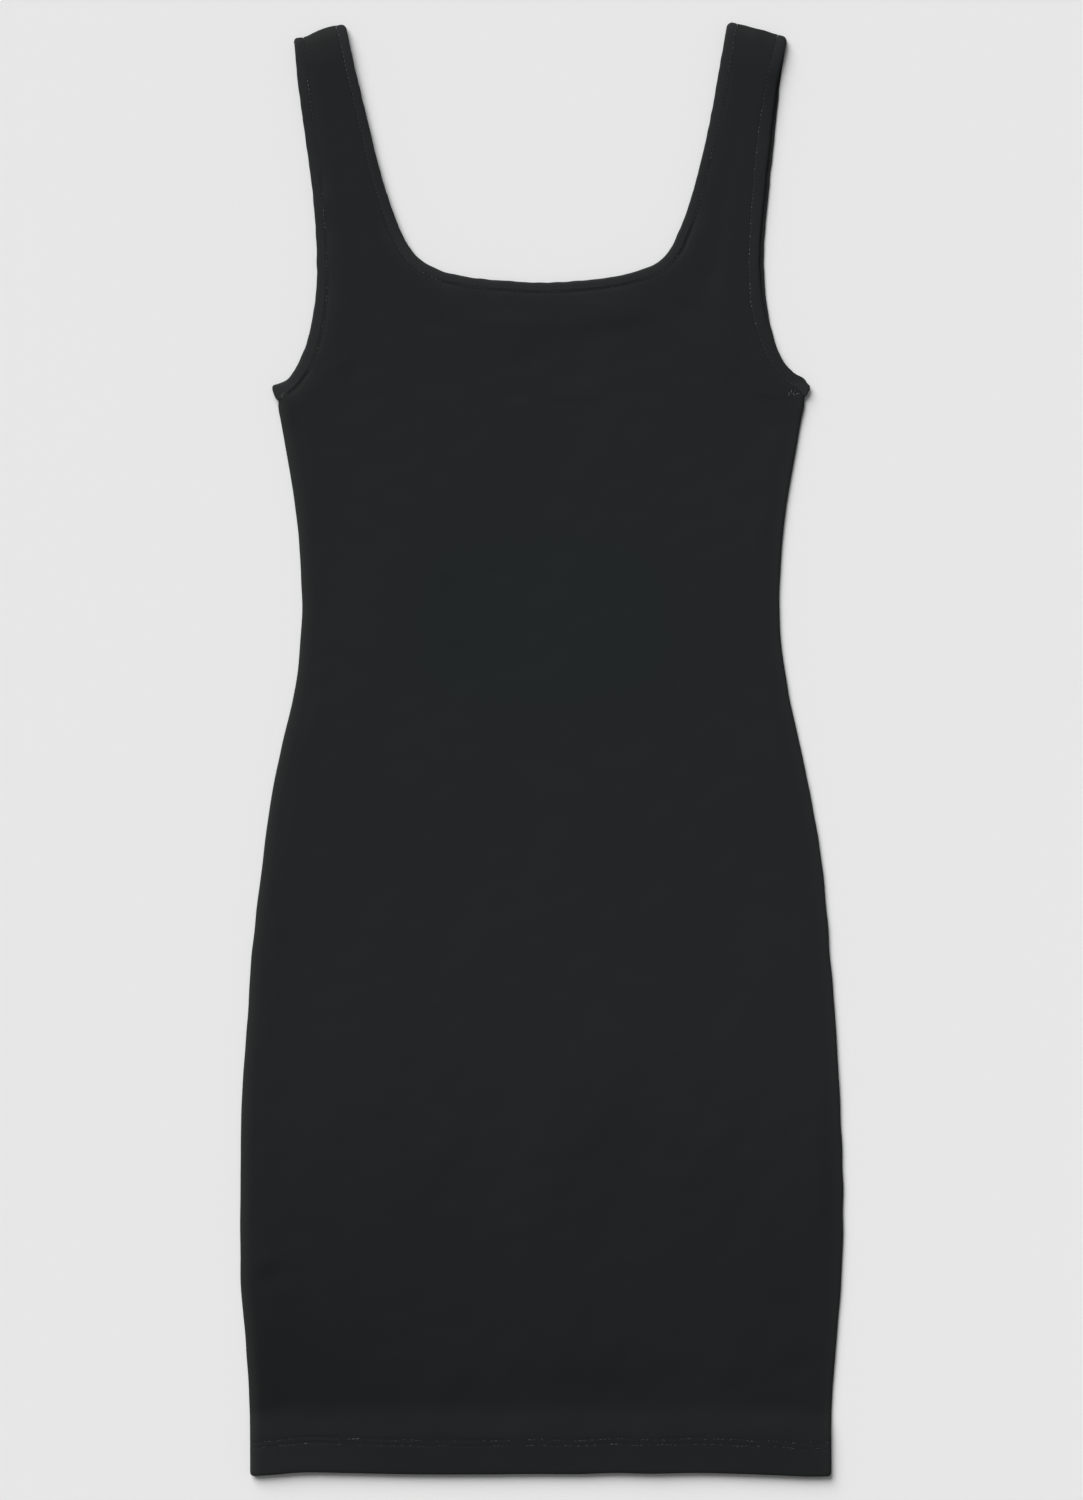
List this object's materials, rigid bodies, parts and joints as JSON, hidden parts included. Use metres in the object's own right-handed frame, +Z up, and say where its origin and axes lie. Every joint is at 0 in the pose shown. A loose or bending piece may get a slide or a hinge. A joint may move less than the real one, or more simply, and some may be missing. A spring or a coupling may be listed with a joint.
{
  "type": "bodycon dress",
  "caption": "Sleeveless scoop-neck bodycon mini dress in plain near-black jersey, laid flat with the front up, with narrow bound edges and a turned hem.",
  "frame": {"origin": "middle of the underside of the laid dress, on the surface it lies on", "axes": "+Y from the hem to the straps, +Z up out of the front, +X towards the wearer's left"},
  "size_m": [0.3738, 0.9008, 0.0049],
  "materials": {
    "jersey": "matte fine stretch jersey, near black",
    "binding_jersey": "matte fine stretch jersey, near black, folded and topstitched"
  },
  "bodies": {
    "root": {"front_panel": "jersey", "back_panel": "jersey", "neck_binding": "binding_jersey", "right_armhole_binding": "binding_jersey", "left_armhole_binding": "binding_jersey"}
  },
  "joints": []
}
